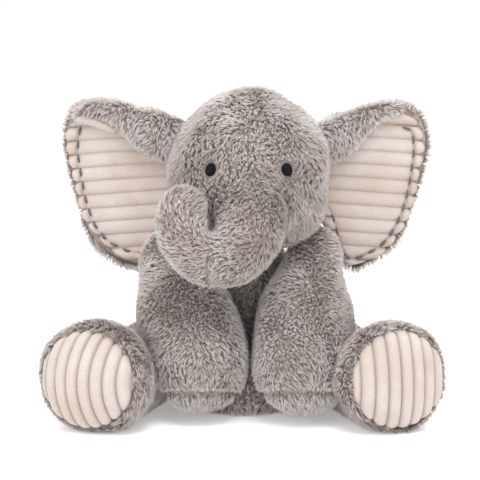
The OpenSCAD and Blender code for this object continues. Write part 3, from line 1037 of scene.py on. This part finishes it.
def ear(side):
    word = SIDES[side]
    body = f"{word}_ear"
    edge = through(EAR_EDGE[side], 5, closed=True)
    centre = np.array([92.0, 162.0])
    edge = centre + (edge - centre) * (1 - 3.6 / np.linalg.norm(edge - centre, axis=1))[:, None]
    m = len(edge)
    shares = [0.0, 0.3, 0.55, 0.75, 0.88, 0.96]
    rows = ([(r, 0.2) for r in shares[1:]] + [(0.99, 0.6), (1.0, 1.8), (0.99, 3.0)]
            + [(r, 3.2 + 3.6 * math.sqrt(1 - r * r)) for r in shares[:0:-1]])
    pts = [ear_point(side, *(centre + (edge - centre) * r).T, y) for r, y in rows]
    front = ear_point(side, np.array([centre[0]]), np.array([centre[1]]), 0.2)
    back = ear_point(side, np.array([centre[0]]), np.array([centre[1]]), 6.8)
    skin = facing(Skin(np.concatenate(pts + [front, back]), loft_faces(len(rows), m)[:, ::-1],
                       end_tris(len(rows), m)[:, [0, 2, 1]]), np.array([0, 1.0, 0]))
    piece(f"{word}_ear_plush", skin, BACKING, body, f"{word}_ear_back", f"{word}_ear_wadding",
          fill=0.4)

    out = np.array([side * 1.0, 0.1, 0.0])

    def comb(p, n):
        spoke = p - ear_point(side, centre[0], centre[1], 3.0)
        return unit(spoke) + 0.35 * DOWN + 0.2 * out

    away = clear_of(head, room=-1.0)
    lining_line = through(LINING_EDGE[side], 2, closed=True)
    lining_line = np.concatenate([lining_line, lining_line[:1]])

    def beyond_lining(p, n):
        """On the front of the ear, outside the lining's edge."""
        d, sign = line_distance(side * (p[:, 0] - EAR_FROM), p[:, 2], lining_line)
        return (n[:, 1] < -0.75) & (sign > 0) & (d > 2.4)

    def rim_length(p, n):
        """A longer fringe along the bottom of the ear."""
        return 1 + 0.45 * np.clip((135 - p[:, 2]) / 20, 0, 1)

    # Painted light: the fringe round the ear's edge and the fur on its front outside the lining are
    # painted lighter.
    made = [grow(skin, comb, 40 + side, 9.0, keep=both(away, lambda p, n: n[:, 1] > 0.25)),
            grow(skin, comb, 44 + side, 6.0, density=3.2, shape=rim_length, light=0.2,
                 lean=(10.0, 32.0), keep=both(away, lambda p, n: (n[:, 1] < 0.8)
                           & (n[:, 1] > np.where(p[:, 2] < 122, -0.8, -0.35)))),
            grow(skin, comb, 52 + side, 5.0, density=1.6, lean=(40.0, 70.0), light=0.2,
                 keep=both(away, beyond_lining))]

    # The top edge folds forward over the lining.
    top, low = through(FOLD_TOP[side], 6), through(FOLD_LOW[side], 6)
    steps = len(top)
    turn = np.linspace(0, math.pi, 13)
    w = (1 - np.cos(turn)) / 2
    rings = []
    for i in range(steps):
        t = i / (steps - 1)
        deep = 3.4 + 6.5 * t ** 0.8
        line = top[i] + (low[i] - top[i]) * w[:, None]
        f = ear_point(side, line[:, 0], line[:, 1], -1.0 - deep * np.sin(turn) ** 0.7)
        b = ear_point(side, line[1:-1, 0][::-1], line[1:-1, 1][::-1], np.full(11, 1.5))
        rings.append(np.concatenate([f, b]))
    cols = len(rings[0])
    p = np.concatenate(rings + [[rings[0].mean(0)], [rings[-1].mean(0)]])
    fold = facing(Skin(p, loft_faces(steps, cols)[:, ::-1], end_tris(steps, cols)[:, [0, 2, 1]]),
                  np.array([0, -1.0, 0]))
    piece(f"{word}_ear_fold", fold, BACKING, body)
    # Painted light: the fur on the fold is painted lighter.
    made.append(grow(fold, lambda p, n: 0.5 * out + 1.0 * DOWN + 0 * p, 48 + side, 8.0,
                     density=1.3, light=0.3, keep=both(away, lambda p, n: n[:, 1] < 0.5)))
    fur(f"{word}_ear_fur", made, body)

    # Ribbed lining, pulled down along the running stitch and puffed up outside it
    es = np.array([math.cos(RIB_TILT), -math.sin(RIB_TILT)])
    eq = np.array([math.sin(RIB_TILT), math.cos(RIB_TILT)])
    stitch = through(STITCH_LINE[side], 4)
    outline = through(LINING_EDGE[side], 4, closed=True)
    outline = np.stack([outline @ es, outline @ eq], 1)

    def flat(s, q):
        return s * es[0] + q * eq[0], s * es[1] + q * eq[1]

    def puff(s, q):
        d, sign = line_distance(*flat(s, q), stitch)
        step = np.clip(0.5 + np.where(sign > 0, d, -d) / 3.0, 0, 1)
        return (0.5 + 0.75 * step) * (1 - 0.85 * np.exp(-(d / 1.3) ** 2))

    # Painted shade in the valleys: fainter inside the running stitch, stronger outside it between
    # the puffs.
    def tone(s, q):
        d, sign = line_distance(*flat(s, q), stitch)
        step = np.clip(0.5 + np.where(sign > 0, d, -d) / 2.0, 0, 1)
        return 0.42 + 0.4 * step

    def place(s, q, h):
        u, z = flat(s, q)
        return ear_point(side, u, z, -0.8 - h)

    phase = float(np.array(RIB_PHASE[side]) @ eq)
    lining, valley_shade = ribbed(outline, RIB_PITCH, phase, place, RIB_RISE, ends=(0.5, 3.6), puff=puff,
                            tone=tone, along=72)
    top_side = skin_top(lining)
    du, _ = line_distance(side * (lining.p[:, 0] - EAR_FROM), lining.p[:, 2], stitch)
    # Painted shade along the running stitch, on the lining's top side only.
    valley_shade = np.maximum(valley_shade, 0.55 * np.exp(-(du / 1.1) ** 2) * top_side)
    # a soft roll and a narrow turned edge under the fold
    low_line = through(FOLD_LOW[side], 4)[:-3]
    size = np.linspace(1.9, 1.0, len(low_line))
    strip = Tube(ear_point(side, low_line[:, 0], low_line[:, 1] - 2.4, -3.0), size,
                 steps=1, sides=12).skin(round_start=True)
    lining = facing(lining, np.array([0, -1.0, 0])).join(strip)
    # The turned edge under the fold gets a little painted shade.
    valley_shade = np.concatenate([valley_shade, np.full(len(strip.p), 0.12)])
    if side < 0:
        roll_line = through([(122.5, 208.4), (115, 207.6), (106, 204.6), (97, 200.6)], 5)
        roll = Tube(ear_point(side, roll_line[:, 0], roll_line[:, 1], -3.6),
                    3.6 * np.sin(np.linspace(0.9, 2.5, len(roll_line))) ** 0.6,
                    steps=1, sides=16).skin(round_start=True)
        lining = lining.join(roll)
        valley_shade = np.concatenate([valley_shade, np.full(len(roll.p), 0.0)])
    piece(f"{word}_ear_lining_ribbed", lining, RIB, body, f"{word}_ear_lining", values=valley_shade)

    # Running stitch of thick thread
    steps_mm = np.concatenate([[0], np.cumsum(np.linalg.norm(np.diff(stitch, axis=0), axis=1))])
    whole = None
    at = 1.0
    while at + STITCH_LEN < steps_mm[-1]:
        t = np.linspace(at, at + STITCH_LEN, 7)
        u, z = (np.interp(t, steps_mm, stitch[:, i]) for i in range(2))
        arch = np.sin(np.linspace(0, math.pi, 7))
        line = ear_point(side, u, z, -0.9 - 1.7 * arch ** 0.6)
        dash = Tube(line, 0.78 - 0.25 * (1 - arch), steps=1, sides=10).skin(round_start=True)
        whole = dash if whole is None else whole.join(dash)
        at += STITCH_STEP
    piece(f"{word}_ear_running_stitch", whole, DARK_THREAD, body, f"{word}_ear_stitching")


STITCH_LEN, STITCH_STEP = 5.6, 10.2
for s in (1, -1):
    satin_eye(s)
    pad(s)
    ear(s)

# ---------------------------------------------------------------- tail, label, seam
cord = Turned(TAIL_AT, TAIL_AIM, [[-1.5, 1], [-1, 3.6], [2, 4.4], [27, 4.0], [31, 3.4], [31.5, 1]],
              sides=24)
tuft = Turned(TAIL_AT + 30 * unit(TAIL_AIM), TAIL_AIM,
              [[-1, 1], [0, 3.6], [4, 6.2], [9, 6.4], [14, 3.8], [16.5, 0.5]], sides=24)
for name, form, node, seed, length in (("tail_plush", cord, "tail_cord", 60, 5.0),
                                       ("tail_tuft_plush", tuft, "tail_tuft", 61, 9.0)):
    skin = form.skin()
    piece(name, skin, BACKING, "tail", node, fill=0.6)
    made = grow(skin, lambda p, n: unit(TAIL_AIM) + 0 * p, seed, length, density=1.6, swirl=0.4)
    fur(name.replace("plush", "fur"), [made], "tail")

for node, material in (("care_label", LABEL), ("back_seam_thread", SEAM_THREAD)):
    ob = frame["nodes"][node]
    if ob.data.materials:
        ob.material_slots[0].material = material
    else:
        ob.data.materials.append(material)


# ---------------------------------------------------------------- stage, light and camera
FLOOR_HALF = 3000.0


def stage_floor():
    corners = ((-1, -1), (1, -1), (1, 1), (-1, 1))
    skin = Skin([[x * FLOOR_HALF, y * FLOOR_HALF, 0] for x, y in corners], [[0, 1, 2, 3]])
    m = Nodes("studio_floor")
    grain = m.noise(m.place(), 30.0)
    # The floor glows faintly (emission 0.3): painted light that fills the toy's shadow on it and
    # lights the toy from below.
    m.set(Base_Color=m.ramp(grain, [(0.0, (0.93, 0.93, 0.93)), (1.0, (0.95, 0.95, 0.95))]),
          Roughness=0.9, Specular_IOR_Level=0.1, Emission_Color=(1, 1, 1, 1),
          Emission_Strength=0.3)
    make_object("studio_floor", skin, m.mat)


def area_light(name, place, target, size, power):
    data = bpy.data.lights.new(name, "AREA")
    data.shape, data.size, data.energy = "DISK", size, power
    ob = bpy.data.objects.new(name, data)
    bpy.context.scene.collection.objects.link(ob)
    ob.location = place
    ob.rotation_euler = (Vector(target) - Vector(place)).to_track_quat("-Z", "Y").to_euler()


stage_floor()
area_light("key", (0.15, -0.9, 2.1), (0, 0, 0.12), 1.2, 32)
area_light("fill", (-1.25, -1.3, 0.95), (0, 0, 0.12), 1.6, 7)
area_light("rim", (0.2, 1.4, 1.3), (0, 0, 0.15), 1.6, 22)
world = bpy.data.worlds.new("studio")
world.use_nodes = True
world.node_tree.nodes["Background"].inputs["Color"].default_value = (1, 1, 1, 1)
world.node_tree.nodes["Background"].inputs["Strength"].default_value = 1.02
bpy.context.scene.world = world
bpy.context.scene.view_settings.view_transform = "Standard"

CAMERA_TILT = math.radians(9)
CAMERA_AWAY = 1300.0
CAMERA_TARGET = np.array([-2.0, 0.0, 119.5])
CAMERA_LENS = 131.8
look = np.array([0.0, math.cos(CAMERA_TILT), -math.sin(CAMERA_TILT)])
camera = bpy.data.objects.new("camera", bpy.data.cameras.new("camera"))
bpy.context.scene.collection.objects.link(camera)
camera.location = (CAMERA_TARGET - CAMERA_AWAY * look + SHIFT) * MM
camera.rotation_euler = (math.pi / 2 - CAMERA_TILT, 0, 0)
camera.data.lens = CAMERA_LENS
camera.data.sensor_width = 36.0
camera.data.clip_start = 0.05
bpy.context.scene.camera = camera

bpy.context.view_layer.update()
